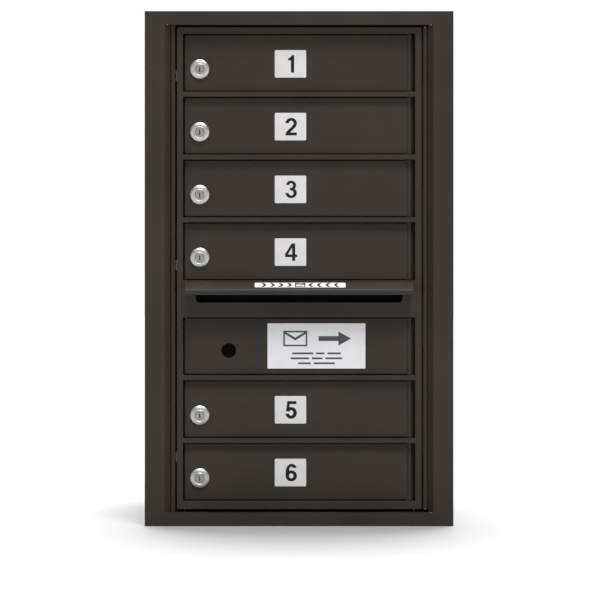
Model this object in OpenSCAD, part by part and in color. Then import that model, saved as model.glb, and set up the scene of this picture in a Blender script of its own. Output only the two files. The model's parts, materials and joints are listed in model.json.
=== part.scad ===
// Recessed front-loading mailbox unit: one column of six tenant boxes and an
// outgoing-mail compartment behind one hinged master door.
// Millimetres. +X right, +Y into the wall, +Z up. The origin is at the middle
// of the unit's footprint, on the level of the trim's lower edge.

/* [Openings] */
// Clear width of every opening in the master door
opening_w = 328.6; // [305:0.1:380]
// Clear height of a one-high opening
opening_h = 82; // [77:0.1:90]
// Height of the rail between two openings
rail_h = 6.9; // [6.5:0.1:12]
// Height of the fixed panel that carries the outgoing slot
slot_panel_h = 52.5; // [50:0.5:80]

/* [Trim] */
// Width of the flat face of the side trims
side_trim_w = 28.4; // [24:0.1:40]
// Height of the flat face of the top and bottom trims
end_trim_h = 19; // [15:0.5:30]
// Sheet thickness of the trim extrusions
trim_t = 2; // [1.5:0.1:3]
// Distance from the trim's front face to the wall
wall_offset = 9.5; // [8:0.5:12]
// How far the trim's inner leg reaches back
trim_leg = 24; // [18:1:30]

/* [Master door] */
// Depth of the master door's face behind the trim's front face
face_recess = 8; // [6:0.5:10]
// Thickness of the master door's face plate
face_t = 2; // [1.5:0.1:3]
// Depth of the master door's folded edges, face plate included
frame_depth = 18; // [16:1:22]
// Width of the master door's left and right stiles
stile_w = 8.4; // [8:0.1:14]
// Height of the rail above the top door
top_rail_h = 8.9; // [8:0.1:20]
// Height of the rail below the bottom door
bottom_rail_h = 11.3; // [8:0.1:20]
// Gap between the master door and the top trim
head_gap = 2.9; // [2:0.1:5]
// Gap between the master door and the bottom trim
sill_gap = 4.4; // [2:0.1:5]

/* [Tenant doors] */
// Depth of the door faces behind the master door's face
door_recess = 5.5; // [4:0.1:7]
// Sheet thickness of the doors
door_t = 1.6; // [1.2:0.1:2]
// Depth of the doors' folded edges
door_fold = 10; // [6:1:12]
// Gap above and below each door
door_gap = 0.8; // [0.5:0.1:1.5]
// Gap at the lock side of each door
lock_side_gap = 1.7; // [1.5:0.1:4]
// Gap at the hinge side of each door
hinge_side_gap = 2.9; // [2.5:0.1:5]

/* [Compartments] */
// Clear depth of a compartment
compartment_d = 381; // [330:1:420]
// Clear width of a compartment
compartment_w = 326; // [305:1:328]
// Sheet thickness of shelves and compartment walls
shelf_t = 1.2; // [1:0.1:2]
// Sheet thickness of the outer cabinet
cabinet_t = 1.6; // [1.2:0.1:2.5]

/* [Locks] */
// Radius of the lock's front bezel
bezel_r = 13.8; // [12:0.1:15]
// Radius of the plug that the key turns
plug_r = 6.25; // [5:0.05:7]
// Reach of the cam from the plug's centre to its tip
cam_reach = 30; // [28:0.5:32]
// Distance of the lock below the middle of its opening
lock_drop = 8.7; // [4:0.1:12]

/* [Outgoing mail] */
// Width of the outgoing slot
slot_w = 294.6; // [250:0.1:300]
// Height of the outgoing slot
slot_h = 17; // [12:0.5:20]
// Width of the rain hood over the slot
hood_w = 322; // [300:1:328]
// How far the hood stands out from the master door's face
hood_reach = 22; // [18:1:24]
// Drop of the hood's top from its root to its lip
hood_drop = 13.6; // [8:0.1:16]

/* [Hidden] */
$fn = 48;

bronze = "#453d38";
mill_aluminium = "#b9bbbd";
zinc = "#c6c6c2";
steel = "#8f9194";
plate_white = "#d9dbdd";
label_silver = "#b4b4c2";
knob_black = "#2b2b2d";

// Numbering: box 1 is at the top. Rows count from the bottom, from 0.
tenant_count = 6;
outgoing_row = 2;
row_count = tenant_count + 1;
function tenant_row(n) = n <= 4 ? row_count - n : tenant_count - n;

// Widths, as distances from the centre plane
opening_half = opening_w / 2;
frame_half = opening_half + stile_w;
parting_gap = 2.1;
bead_w = 7.6;
bead_r = bead_w / 2;
bead_x = frame_half + parting_gap + bead_r;
leg_x = bead_x + bead_r;
slope_w = 7;
side_trim_x = leg_x + slope_w;
trim_half = side_trim_x + side_trim_w;
cabinet_half = leg_x + trim_t + cabinet_t;
wall_half = compartment_w / 2 + shelf_t;

// Heights
pitch = opening_h + rail_h;
frame_z = end_trim_h + sill_gap;
first_opening_z = frame_z + bottom_rail_h;
function opening_z(row) =
    first_opening_z + row * pitch + (row > outgoing_row ? slot_panel_h - rail_h : 0);
frame_top_z = opening_z(row_count - 1) + opening_h + top_rail_h;
frame_h = frame_top_z - frame_z;
top_trim_z = frame_top_z + head_gap;
unit_h = top_trim_z + end_trim_h;
slot_panel_z = opening_z(outgoing_row) + opening_h;
slot_panel_top_z = opening_z(outgoing_row + 1);
cabinet_z = end_trim_h - trim_t - cabinet_t;
cabinet_top_z = unit_h - cabinet_z;

// Depths, measured back from the trim's front face
door_face = face_recess + door_recess;
frame_back = face_recess + frame_depth;
compartment_front = 38;
compartment_back = compartment_front + compartment_d;
cabinet_front = 12;
cabinet_back_face = compartment_back + cabinet_t;
hood_front = face_recess - hood_reach;
front_y = -(cabinet_back_face - hood_front) / 2 - hood_front;

// Door stops
stop_t = 1.5;
stop_left_w = 1.9;
stop_right_w = 4;

// Master door hinge
hinge_y = face_recess + bead_r - 1;
hinge_barrel_r = bead_r - 0.05;
hinge_pin_r = 1.5;
hinge_knuckles = 9;
knuckle_h = frame_h / hinge_knuckles;
knuckle_gap = 0.3;
leaf_t = 1.6;
leaf_clear = 4.4;

// Door hinge
barrel_r = 4.5;
door_right = opening_half - hinge_side_gap;
door_pin_x = door_right - barrel_r;
door_pin_y = door_face + barrel_r;
door_pin_r = 2;
door_pin_overrun = 3.2;
running_clear = 0.05;
fixed_clear = 0.02;
door_left = -opening_half + lock_side_gap;
door_h = opening_h - 2 * door_gap;

// Locks
lock_inset = 21.9;
lock_x = door_left + lock_inset;
barrel_flat = 8;
lock_barrel_r = 9.5;
lock_barrel_len = 13.5;
hole_clear = 0.15;
nut_t = 4;
nut_across_flats = 24;
cam_t = 2;
cam_w = 14;
cam_boss_r = 9;
tang_w = 7;
plug_proud = 3.9;
key_slot_w = 1.8;
key_slot_drop = 5.35;
cam_gap = 0.2;
cam_screw_r = 4.6;
cam_screw_h = 2.1;

// Number plates
plate_w = 44.5;
plate_h = 39;
plate_r = 1.5;
plate_x = -12.2;
plate_drop = 1.2;
label_t = 0.5;

// Outgoing compartment
slot_rise = 19.9;
slot_z = slot_panel_z + slot_rise;
slot_r = 6;
liner_t = 1;
liner_proud = 0.3;
liner_l = 6.3;
baffle_t = 1.2;
baffle_overlap = 6;
baffle_drop = 36;
baffle_tip_y = 58;
hood_top_z = slot_panel_top_z - 0.3;
hood_lip_h = 7;
hood_t = 1.8;
hood_root_h = 10;
hood_end_h = 16;
hood_label_w = 128;
hood_label_h = 12.5;
hood_label_t = 0.4;
hood_label_x = 1.5;
hood_label_y = 6.8;
outgoing_label_w = 138.7;
outgoing_label_h = 64.2;
outgoing_label_r = 1;
outgoing_label_x = 24.6;
outgoing_label_rise = 0.4;
key_hole_x = -99.6;
key_hole_r = 10.4;
key_hole_drop = 6.1;
key_hole_z = opening_z(outgoing_row) + opening_h / 2 - key_hole_drop;
stud_dx = 34;
stud_dz = 17;
stud_r = 2.5;
stud_len = 11;

// Latch bar
bar_x = -170.5;
bar_w = 10;
bar_y = 30.8;
bar_t = 2.5;
bar_clear = 0.2;
bar_bottom_z = 56;
bar_top_z = 670;
hook_w = 5.3;
hook_stem_h = 6;
hook_lip_h = 8;
hook_lip_y = 38.6;
hook_lip_t = 2.6;
strike_y = 35;
strike_back_y = 60;
strike_t = 2;
strike_h = 14;
strike_z = [88, 362, 632];
guide_rows = [1, 2, 5, 6];
handle_z = 268;
knob_r = 8;
knob_l = 6.5;
knob_neck_r = 4.5;
knob_shank_r = 2;
knob_x = -148;
tab_half_h = 14;
tab_right = knob_x + 12;

// Fixings
rivet_r = 1.6;
rivet_head_r = 3.2;
rivet_head_h = 1;
rivets_per_column = 6;
front_rivet_y = 18;
rear_rivet_y = compartment_back - 6;
back_fold = 12;
screw_hole_r = 2.6;
screw_y = [60, 360];
screw_z = [unit_h / 2 - 240, unit_h / 2 + 240];

tenants = [for (n = [1:tenant_count]) n];
per_tenant = ["door_", "lock_body_", "lock_plug_", "lock_cam_", "number_plate_"];

// ---------------------------------------------------------------- helpers

// Everything is drawn with y = 0 on the trim's front face, then set in place
module in_place() {
    translate([0, front_y, 0])
        children();
}

// A plate parallel to the front: the 2D shape's y runs up, at depth y, t thick
module upright(y, t) {
    translate([0, y + t, 0])
        rotate([90, 0, 0])
            linear_extrude(t)
                children();
}

// A profile seen from above (x, depth), raised from z by h
module raised(z, h) {
    translate([0, 0, z])
        linear_extrude(h)
            children();
}

// A profile seen from the side (depth, height), drawn along X from x by w
module across(x, w) {
    translate([x, 0, 0])
        rotate([90, 0, 90])
            linear_extrude(w)
                children();
}

module box(low, high) {
    translate(low)
        cube(high - low);
}

module ring(size, t) {
    difference() {
        translate([-t, -t])
            square([size[0] + 2 * t, size[1] + 2 * t]);
        square(size);
    }
}

module at_openings() {
    for (row = [0:row_count - 1])
        translate([-opening_half, opening_z(row)])
            children();
}

// A turned part about an axis that points out of the door; z = 0 is the door face
module on_door(x, z) {
    translate([x, door_face, z])
        rotate([90, 0, 0])
            children();
}

// ---------------------------------------------------------------- trim

module side_trim_profile() {
    polygon([
        [trim_half, 0],
        [side_trim_x, 0],
        [leg_x, face_recess],
        [leg_x, trim_leg],
        [leg_x + trim_t, trim_leg],
        [leg_x + trim_t, face_recess + 0.75],
        [side_trim_x + 0.9, trim_t],
        [trim_half - trim_t, trim_t],
        [trim_half - trim_t, wall_offset - trim_t],
        [trim_half - 10, wall_offset - trim_t],
        [trim_half - 10, wall_offset],
        [trim_half, wall_offset]
    ]);
}

module side_trim() {
    difference() {
        raised(end_trim_h, top_trim_z - end_trim_h)
            side_trim_profile();
        side_holes(leg_x - 1, trim_t + 2);
    }
}

module trim_right() {
    color(bronze)
        in_place()
            side_trim();
}

// The lock side has a fixed bead that matches the hinge barrel opposite
module trim_left() {
    color(bronze)
        in_place()
            mirror([1, 0, 0]) {
                side_trim();
                raised(end_trim_h, top_trim_z - end_trim_h) {
                    translate([bead_x, hinge_y])
                        circle(r = bead_r);
                    translate([bead_x, hinge_y])
                        square([bead_r + 0.1, bead_r]);
                }
            }
}

module end_trim() {
    across(-trim_half, 2 * trim_half) {
        square([trim_t, end_trim_h]);
        square([wall_offset, trim_t]);
        translate([wall_offset - trim_t, 0])
            square([trim_t, 10]);
    }
    box([-leg_x - trim_t, 0, end_trim_h - trim_t], [leg_x + trim_t, trim_leg, end_trim_h]);
}

module trim_bottom() {
    color(bronze)
        in_place()
            end_trim();
}

module trim_top() {
    color(bronze)
        in_place()
            translate([0, 0, unit_h])
                mirror([0, 0, 1])
                    end_trim();
}

// ---------------------------------------------------------------- cabinet

function rivet_z(i) = 60 + i * (unit_h - 120) / (rivets_per_column - 1);

module at_side_rivets() {
    for (y = [front_rivet_y, rear_rivet_y])
        for (i = [0:rivets_per_column - 1])
            translate([0, y, rivet_z(i)])
                rotate([0, 90, 0])
                    children();
}

module side_holes(x, length) {
    at_side_rivets()
        translate([0, 0, x])
            cylinder(r = rivet_r + running_clear, h = length);
}

module cabinet_side() {
    difference() {
        box(
            [cabinet_half - cabinet_t, cabinet_front, end_trim_h - trim_t],
            [cabinet_half, compartment_back, unit_h - end_trim_h + trim_t]
        );
        side_holes(cabinet_half - 3, 5);
        for (y = screw_y, z = screw_z)
            translate([cabinet_half - 3, y, z])
                rotate([0, 90, 0])
                    cylinder(r = screw_hole_r, h = 5);
    }
}

module cabinet_side_right() {
    color(mill_aluminium)
        in_place()
            cabinet_side();
}

module cabinet_side_left() {
    color(mill_aluminium)
        in_place()
            mirror([1, 0, 0])
                cabinet_side();
}

module cabinet_end_sheet() {
    box(
        [-cabinet_half, cabinet_front, cabinet_z],
        [cabinet_half, compartment_back, cabinet_z + cabinet_t]
    );
}

module cabinet_bottom() {
    color(mill_aluminium)
        in_place()
            cabinet_end_sheet();
}

module cabinet_top() {
    color(mill_aluminium)
        in_place()
            translate([0, 0, unit_h])
                mirror([0, 0, 1])
                    cabinet_end_sheet();
}

// The back is a shallow pan whose side folds sit inside the cabinet sides
module cabinet_back() {
    inner = cabinet_half - cabinet_t;
    color(mill_aluminium)
        in_place()
            difference() {
                union() {
                    box(
                        [-cabinet_half, compartment_back, cabinet_z],
                        [cabinet_half, cabinet_back_face, cabinet_top_z]
                    );
                    for (side = [0, 1])
                        mirror([side, 0, 0])
                            box(
                                [inner - cabinet_t, compartment_back - back_fold, end_trim_h + 2],
                                [inner, compartment_back, unit_h - end_trim_h - 2]
                            );
                }
                for (side = [0, 1])
                    mirror([side, 0, 0])
                        side_holes(inner - 3, 3.01);
            }
}

module compartment_wall() {
    box(
        [compartment_w / 2, compartment_front, end_trim_h - trim_t],
        [wall_half, compartment_back, unit_h - end_trim_h + trim_t]
    );
}

module compartment_wall_right() {
    color(mill_aluminium)
        in_place()
            compartment_wall();
}

module compartment_wall_left() {
    color(mill_aluminium)
        in_place()
            mirror([1, 0, 0])
                compartment_wall();
}

// Each shelf is a tray with its front and side edges folded down
module shelf() {
    front_fold = 5;
    side_fold = 6;
    half = compartment_w / 2;
    box([-half, compartment_front, -shelf_t / 2], [half, compartment_back, shelf_t / 2]);
    box([-half, compartment_front, -front_fold], [half, compartment_front + shelf_t, 0]);
    for (side = [0, 1])
        mirror([side, 0, 0])
            box([half - shelf_t, compartment_front, -side_fold], [half, compartment_back, 0]);
}

module compartment_shelves() {
    color(mill_aluminium)
        in_place()
            for (row = [1:row_count - 1])
                translate([0, 0, opening_z(row) - rail_h / 2])
                    shelf();
}

// Angle brackets on the left side that the latch hooks rise behind
module latch_strikes() {
    side_x = -cabinet_half + cabinet_t;
    color(zinc)
        in_place()
            for (z = strike_z) {
                box([side_x, strike_y, z], [-wall_half - 1, strike_y + strike_t, z + strike_h]);
                box([side_x, strike_y, z], [side_x + strike_t, strike_back_y, z + strike_h]);
            }
}

module cabinet_rivets() {
    shank = cabinet_t + trim_t;
    color(steel)
        in_place()
            for (side = [0, 1])
                mirror([side, 0, 0])
                    at_side_rivets()
                        translate([0, 0, cabinet_half]) {
                            cylinder(r = rivet_head_r, h = rivet_head_h);
                            translate([0, 0, -shank + 0.5])
                                cylinder(r = rivet_r, h = shank);
                        }
}

// ---------------------------------------------------------------- master door

module slot_outline(inset) {
    half = slot_w / 2 - inset;
    r = slot_r - inset;
    low = slot_z + inset;
    high = slot_z + slot_h - inset;
    translate([-half, low + r])
        square([2 * half, high - low - r]);
    translate([-half + r, low])
        square([2 * (half - r), r + 0.01]);
    for (side = [-1, 1])
        translate([side * (half - r), low + r])
            circle(r = r);
}

module pin_holes() {
    translate([door_pin_x, door_pin_y, frame_z + face_t])
        cylinder(r = door_pin_r + fixed_clear, h = frame_h - 2 * face_t);
}

// Lips at the back of an opening that close the gaps beside its door
module door_stops() {
    square([stop_left_w, opening_h]);
    translate([opening_w - stop_right_w, 0])
        square([stop_right_w, opening_h]);
}

// One formed and welded sheet: the face plate, an outer fold all round, and a
// fold round every opening
module master_door_frame() {
    fold = frame_depth - face_t;
    fold_t = 1.6;
    color(bronze)
        in_place()
            difference() {
                union() {
                    upright(face_recess, face_t)
                        difference() {
                            translate([-frame_half, frame_z])
                                square([2 * frame_half, frame_h]);
                            at_openings()
                                square([opening_w, opening_h]);
                            slot_outline(0);
                        }
                    upright(face_recess + face_t, fold)
                        at_openings()
                            ring([opening_w, opening_h], fold_t);
                    upright(frame_back - stop_t, stop_t)
                        at_openings()
                            door_stops();
                    upright(face_recess + face_t, fold)
                        translate([-frame_half + fold_t, frame_z + fold_t])
                            ring([2 * (frame_half - fold_t), frame_h - 2 * fold_t], fold_t);
                }
                pin_holes();
            }
}

module knuckles(first) {
    for (i = [first:2:hinge_knuckles - 1])
        translate([0, 0, frame_z + i * knuckle_h + knuckle_gap / 2])
            linear_extrude(knuckle_h - knuckle_gap)
                children();
}

// Fixed leaf, screwed to the inner leg of the right trim
module master_hinge_fixed_leaf() {
    leaf_x = leg_x - leaf_t;
    color(bronze)
        in_place()
            difference() {
                union() {
                    knuckles(0) {
                        translate([bead_x, hinge_y])
                            circle(r = hinge_barrel_r);
                        translate([leaf_x, hinge_y])
                            square([leaf_t, leaf_clear + 0.1]);
                    }
                    raised(frame_z, frame_h)
                        translate([leaf_x, hinge_y + leaf_clear])
                            square([leaf_t, trim_leg - hinge_y - leaf_clear]);
                }
                translate([bead_x, hinge_y, frame_z - 1])
                    cylinder(r = hinge_pin_r + fixed_clear, h = frame_h + 2);
            }
}

// Moving leaf, bent round onto the outer fold of the master door
module master_hinge_moving_leaf() {
    web_y = hinge_y + hinge_barrel_r - leaf_t;
    color(bronze)
        in_place()
            difference() {
                union() {
                    knuckles(1) {
                        translate([bead_x, hinge_y])
                            circle(r = hinge_barrel_r);
                        translate([frame_half, web_y])
                            square([bead_x - frame_half, leaf_t]);
                    }
                    raised(frame_z, frame_h)
                        translate([frame_half, web_y])
                            square([leaf_t, frame_back - web_y]);
                }
                translate([bead_x, hinge_y, frame_z - 1])
                    cylinder(r = hinge_pin_r + running_clear, h = frame_h + 2);
            }
}

module master_hinge_pin() {
    color(steel)
        in_place()
            translate([bead_x, hinge_y, frame_z - 0.8])
                cylinder(r = hinge_pin_r, h = frame_h + 1.6);
}

module door_hinge_pins() {
    color(steel)
        in_place()
            for (row = [0:row_count - 1])
                translate([door_pin_x, door_pin_y, opening_z(row) - door_pin_overrun])
                    cylinder(r = door_pin_r, h = opening_h + 2 * door_pin_overrun);
}

// ---------------------------------------------------------------- latch

// Closed keepers on the back of the lock-side stile that the bar slides in
module latch_guides() {
    wall = 2;
    low_x = -frame_half;
    high_x = bar_x + bar_w + bar_clear + wall;
    color(zinc)
        in_place()
            for (row = guide_rows)
                raised(opening_z(row) - rail_h, rail_h)
                    difference() {
                        translate([low_x, frame_back])
                            square([high_x - low_x, bar_y + bar_t + bar_clear + wall - frame_back]);
                        translate([bar_x - bar_clear, bar_y - bar_clear])
                            square([bar_w + 2 * bar_clear, bar_t + 2 * bar_clear]);
                    }
}

// Hooks on the back of the bar; their lips wait just below the strikes
module latch_hooks() {
    bar_back = bar_y + bar_t;
    hook_h = hook_stem_h + hook_lip_h;
    color(zinc)
        in_place()
            for (z = strike_z)
                translate([0, 0, z - hook_h - 1])
                    across(bar_x, hook_w) {
                        translate([bar_back, 0])
                            square([hook_lip_y + hook_lip_t - bar_back, hook_stem_h]);
                        translate([hook_lip_y, 0])
                            square([hook_lip_t, hook_h]);
                    }
}

// Long strip with a tab that carries the knob
module latch_bar() {
    color(zinc)
        in_place()
            difference() {
                translate([bar_x, bar_y, 0]) {
                    translate([0, 0, bar_bottom_z])
                        cube([bar_w, bar_t, bar_top_z - bar_bottom_z]);
                    translate([0, 0, handle_z - tab_half_h])
                        cube([tab_right - bar_x, bar_t, 2 * tab_half_h]);
                }
                translate([knob_x, bar_y - 1, handle_z])
                    rotate([-90, 0, 0])
                        cylinder(r = knob_shank_r + fixed_clear, h = bar_t + 2);
            }
}

module latch_knob() {
    color(knob_black)
        in_place()
            translate([knob_x, bar_y, handle_z])
                rotate([90, 0, 0]) {
                    rotate_extrude()
                        polygon([
                            [0, 0],
                            [knob_neck_r, 0],
                            [knob_neck_r, knob_l - 4.5],
                            [knob_r, knob_l - 3],
                            [knob_r, knob_l - 1],
                            [knob_r - 1, knob_l],
                            [0, knob_l]
                        ]);
                    translate([0, 0, -bar_t - 1])
                        cylinder(r = knob_shank_r, h = bar_t + 1.01);
                }
}

// ---------------------------------------------------------------- outgoing mail

// Side view of the hood: root flange on the plate, sloping top and a lip
module hood_profile() {
    lip_z = hood_top_z - hood_drop;
    polygon([
        [face_recess, hood_top_z],
        [hood_front, lip_z],
        [hood_front, lip_z - hood_lip_h],
        [hood_front + hood_t, lip_z - hood_lip_h],
        [hood_front + hood_t, lip_z - 0.7],
        [face_recess - hood_t, hood_top_z - 3.1],
        [face_recess - hood_t, hood_top_z - hood_root_h],
        [face_recess, hood_top_z - hood_root_h]
    ]);
}

module hood_end_profile() {
    polygon([
        [face_recess, hood_top_z],
        [hood_front, hood_top_z - hood_drop],
        [hood_front, hood_top_z - hood_drop - hood_lip_h],
        [face_recess, hood_top_z - hood_end_h]
    ]);
}

module outgoing_hood() {
    color(bronze)
        in_place() {
            across(-hood_w / 2, hood_w)
                hood_profile();
            for (side = [0, 1])
                mirror([side, 0, 0])
                    across(hood_w / 2 - hood_t, hood_t)
                        hood_end_profile();
        }
}

module outgoing_label() {
    slope = atan2(hood_drop, hood_reach);
    color(plate_white)
        in_place()
            translate([hood_label_x, face_recess, hood_top_z])
                rotate([slope, 0, 0])
                    translate([-hood_label_w / 2, -hood_label_h - hood_label_y, 0])
                        cube([hood_label_w, hood_label_h, hood_label_t]);
}

// Bright sleeve that lines the cut edge of the slot
module slot_liner() {
    color(mill_aluminium)
        in_place()
            upright(face_recess - liner_proud, liner_l)
                difference() {
                    slot_outline(0.02);
                    slot_outline(liner_t);
                }
}

// Sloping guard behind the slot that lets letters drop but not be pulled back
module slot_baffle() {
    half = slot_w / 2 + baffle_overlap;
    front = face_recess + face_t;
    back = frame_back - face_t;
    top = slot_panel_top_z - 2.6;
    tip = top - baffle_drop;
    root = top - 8;
    color(mill_aluminium)
        in_place()
            across(-half, 2 * half)
                polygon([
                    [front, top],
                    [back, top],
                    [baffle_tip_y, tip],
                    [baffle_tip_y - baffle_t, tip],
                    [back - baffle_t / 2, top - baffle_t],
                    [front + baffle_t, top - baffle_t],
                    [front + baffle_t, root],
                    [front, root]
                ]);
}

// ---------------------------------------------------------------- doors

// A shallow pan with a hinge barrel rolled into its right edge. z = 0 is the
// bottom of its opening.
module door_blank() {
    low = door_gap;
    high = door_gap + door_h;
    back = door_face + door_fold;
    pan_right = door_pin_x - barrel_r - 1;
    groove_x = door_pin_x - barrel_r;
    difference() {
        union() {
            box([door_left, door_face, low], [door_pin_x - 3.2, door_face + door_t, high]);
            box([door_left, door_face, low], [door_left + door_t, back, high]);
            box([door_left, door_face, low], [pan_right, back, low + door_t]);
            box([door_left, door_face, high - door_t], [pan_right, back, high]);
            raised(low, door_h)
                translate([door_pin_x, door_pin_y])
                    circle(r = barrel_r);
        }
        translate([door_pin_x, door_pin_y, -1])
            cylinder(r = door_pin_r + running_clear, h = opening_h + 2);
        box([groove_x - 0.4, door_face - 1, -1], [groove_x + 0.4, door_face + 0.5, opening_h + 1]);
    }
}

function lock_z(row) = opening_z(row) + opening_h / 2 - lock_drop;

module lock_barrel_outline(clear) {
    intersection() {
        circle(r = lock_barrel_r + clear);
        translate([-barrel_flat - clear, -20])
            square([2 * (barrel_flat + clear), 40]);
    }
}

module tenant_door(n) {
    row = tenant_row(n);
    color(bronze)
        in_place()
            difference() {
                translate([0, 0, opening_z(row)])
                    door_blank();
                on_door(lock_x, lock_z(row))
                    translate([0, 0, -door_t - 1])
                        linear_extrude(door_t + 2)
                            lock_barrel_outline(hole_clear);
            }
}

// Bezel and threaded barrel with flats, and the hexagon nut behind the door
module lock_body(n) {
    row = tenant_row(n);
    bore_r = plug_r + running_clear;
    color(zinc)
        in_place()
            on_door(lock_x, lock_z(row)) {
                rotate_extrude()
                    polygon([
                        [bore_r, 0],
                        [bezel_r, 0],
                        [bezel_r, 1.4],
                        [bezel_r - 0.5, 2.6],
                        [bezel_r - 1.5, 3.9],
                        [bezel_r - 2.6, 4.7],
                        [bezel_r - 3.4, 4.9],
                        [bezel_r - 3.9, 4.4],
                        [bezel_r - 4.1, 3.6],
                        [bore_r, 3.4]
                    ]);
                translate([0, 0, -lock_barrel_len])
                    difference() {
                        linear_extrude(lock_barrel_len)
                            lock_barrel_outline(0);
                        translate([0, 0, -1])
                            cylinder(r = bore_r, h = lock_barrel_len + 2);
                    }
                translate([0, 0, -door_t - nut_t])
                    difference() {
                        rotate(30)
                            cylinder(r = nut_across_flats / 2 / cos(30), h = nut_t, $fn = 6);
                        translate([0, 0, -1])
                            cylinder(r = lock_barrel_r + running_clear, h = nut_t + 2);
                    }
            }
}

module lock_plug(n) {
    row = tenant_row(n);
    tang_l = cam_t + cam_gap;
    color(zinc)
        in_place()
            on_door(lock_x, lock_z(row))
                difference() {
                    union() {
                        translate([0, 0, -lock_barrel_len])
                            cylinder(r = plug_r, h = lock_barrel_len + plug_proud);
                        translate([-tang_w / 2, -tang_w / 2, -lock_barrel_len - tang_l])
                            cube([tang_w, tang_w, tang_l + 0.1]);
                    }
                    translate([-key_slot_w / 2, -key_slot_drop, plug_proud - 10])
                        cube([key_slot_w, 8, 11]);
                }
}

// The cam hangs down while released and turns behind the stile to lock. Its
// retaining screw head sits behind it.
module lock_cam(n) {
    row = tenant_row(n);
    hole = tang_w + 0.1;
    cam_back = -lock_barrel_len - cam_gap - cam_t;
    color(steel)
        in_place()
            on_door(lock_x, lock_z(row)) {
                translate([0, 0, cam_back])
                    linear_extrude(cam_t)
                        difference() {
                            union() {
                                circle(r = cam_boss_r);
                                translate([-cam_w / 2, -cam_reach])
                                    rounded_rectangle(cam_w, cam_reach, 3);
                            }
                            square(hole, center = true);
                        }
                translate([0, 0, cam_back - cam_screw_h - 0.2])
                    cylinder(r = cam_screw_r, h = cam_screw_h);
            }
}

module number_plate(n) {
    centre_z = opening_z(tenant_row(n)) + opening_h / 2 - plate_drop;
    color(plate_white)
        in_place()
            upright(door_face - label_t, label_t)
                translate([plate_x - plate_w / 2, centre_z - plate_h / 2])
                    rounded_rectangle(plate_w, plate_h, plate_r);
}

module rounded_rectangle(w, h, r) {
    translate([r, 0])
        square([w - 2 * r, h]);
    translate([0, r])
        square([w, h - 2 * r]);
    for (x = [r, w - r], y = [r, h - r])
        translate([x, y])
            circle(r = r);
}

module outgoing_door() {
    color(bronze)
        in_place()
            difference() {
                translate([0, 0, opening_z(outgoing_row)])
                    door_blank();
                on_door(key_hole_x, key_hole_z)
                    translate([0, 0, -door_t - 1])
                        cylinder(r = key_hole_r, h = door_t + 2);
            }
}

module outgoing_door_label() {
    centre_z = opening_z(outgoing_row) + opening_h / 2 + outgoing_label_rise;
    color(label_silver)
        in_place()
            upright(door_face - label_t, label_t)
                translate([outgoing_label_x - outgoing_label_w / 2, centre_z - outgoing_label_h / 2])
                    rounded_rectangle(outgoing_label_w, outgoing_label_h, outgoing_label_r);
}

// Welded studs that the carrier's lock bolts onto
module arrow_lock_studs() {
    color(steel)
        in_place()
            for (dx = [-stud_dx, stud_dx], dz = [-stud_dz, stud_dz])
                on_door(key_hole_x + dx, key_hole_z + dz)
                    translate([0, 0, -door_t - stud_len])
                        cylinder(r = stud_r, h = stud_len);
}

// ---------------------------------------------------------------- nodes

trim_top();
trim_bottom();
trim_left();
trim_right();
cabinet_side_left();
cabinet_side_right();
cabinet_top();
cabinet_bottom();
cabinet_back();
compartment_wall_left();
compartment_wall_right();
compartment_shelves();
latch_strikes();
cabinet_rivets();
master_hinge_fixed_leaf();
master_hinge_moving_leaf();
master_hinge_pin();
master_door_frame();
door_hinge_pins();
latch_guides();
latch_bar();
latch_hooks();
latch_knob();
outgoing_hood();
outgoing_label();
slot_liner();
slot_baffle();
outgoing_door();
outgoing_door_label();
arrow_lock_studs();
for (n = tenants) {
    tenant_door(n);
    lock_body(n);
    lock_plug(n);
    lock_cam(n);
    number_plate(n);
}
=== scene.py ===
"""Looks for the recessed mailbox unit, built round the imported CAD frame.

Lengths are in metres, and those in millimetres are written as numbers times MM.
+X is right, +Y goes into the wall and +Z is up. The doors face -Y.
"""
import json
import math

import bmesh
import bpy
from mathutils import Matrix, Vector


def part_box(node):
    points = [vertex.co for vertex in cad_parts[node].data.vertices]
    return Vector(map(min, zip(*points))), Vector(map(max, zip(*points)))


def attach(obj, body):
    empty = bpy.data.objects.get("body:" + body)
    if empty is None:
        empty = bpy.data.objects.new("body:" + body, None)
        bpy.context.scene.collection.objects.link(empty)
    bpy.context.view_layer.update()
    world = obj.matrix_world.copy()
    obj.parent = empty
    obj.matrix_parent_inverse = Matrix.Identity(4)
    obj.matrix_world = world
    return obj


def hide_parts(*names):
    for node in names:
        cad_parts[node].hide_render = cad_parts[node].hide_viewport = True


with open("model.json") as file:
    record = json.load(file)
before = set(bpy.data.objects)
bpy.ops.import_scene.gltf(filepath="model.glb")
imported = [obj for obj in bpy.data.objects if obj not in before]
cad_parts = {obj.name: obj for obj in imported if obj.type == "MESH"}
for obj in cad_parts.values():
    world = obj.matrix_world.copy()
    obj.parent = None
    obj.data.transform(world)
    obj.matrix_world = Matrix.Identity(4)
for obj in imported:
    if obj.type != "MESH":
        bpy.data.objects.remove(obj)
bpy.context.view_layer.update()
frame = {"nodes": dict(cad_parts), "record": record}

MM = 0.001
TENANTS = range(1, 7)
OUTWARD = Matrix.Rotation(math.radians(90), 4, "X")  # local +Z points out of a door


# ------------------------------------------------------------- node materials

def new_material(name):
    """A material, its shader and a short function that adds a node to it."""
    material = bpy.data.materials.new(name)
    material.use_nodes = True
    nodes = material.node_tree.nodes
    shader = nodes["Principled BSDF"]

    def add(kind, **settings):
        node = nodes.new(kind)
        for key, value in settings.items():
            if hasattr(node, key):
                setattr(node, key, value)
            else:
                node.inputs[key.replace("_", " ").title()].default_value = value
        return node

    return material, shader, add, material.node_tree.links.new


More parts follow.
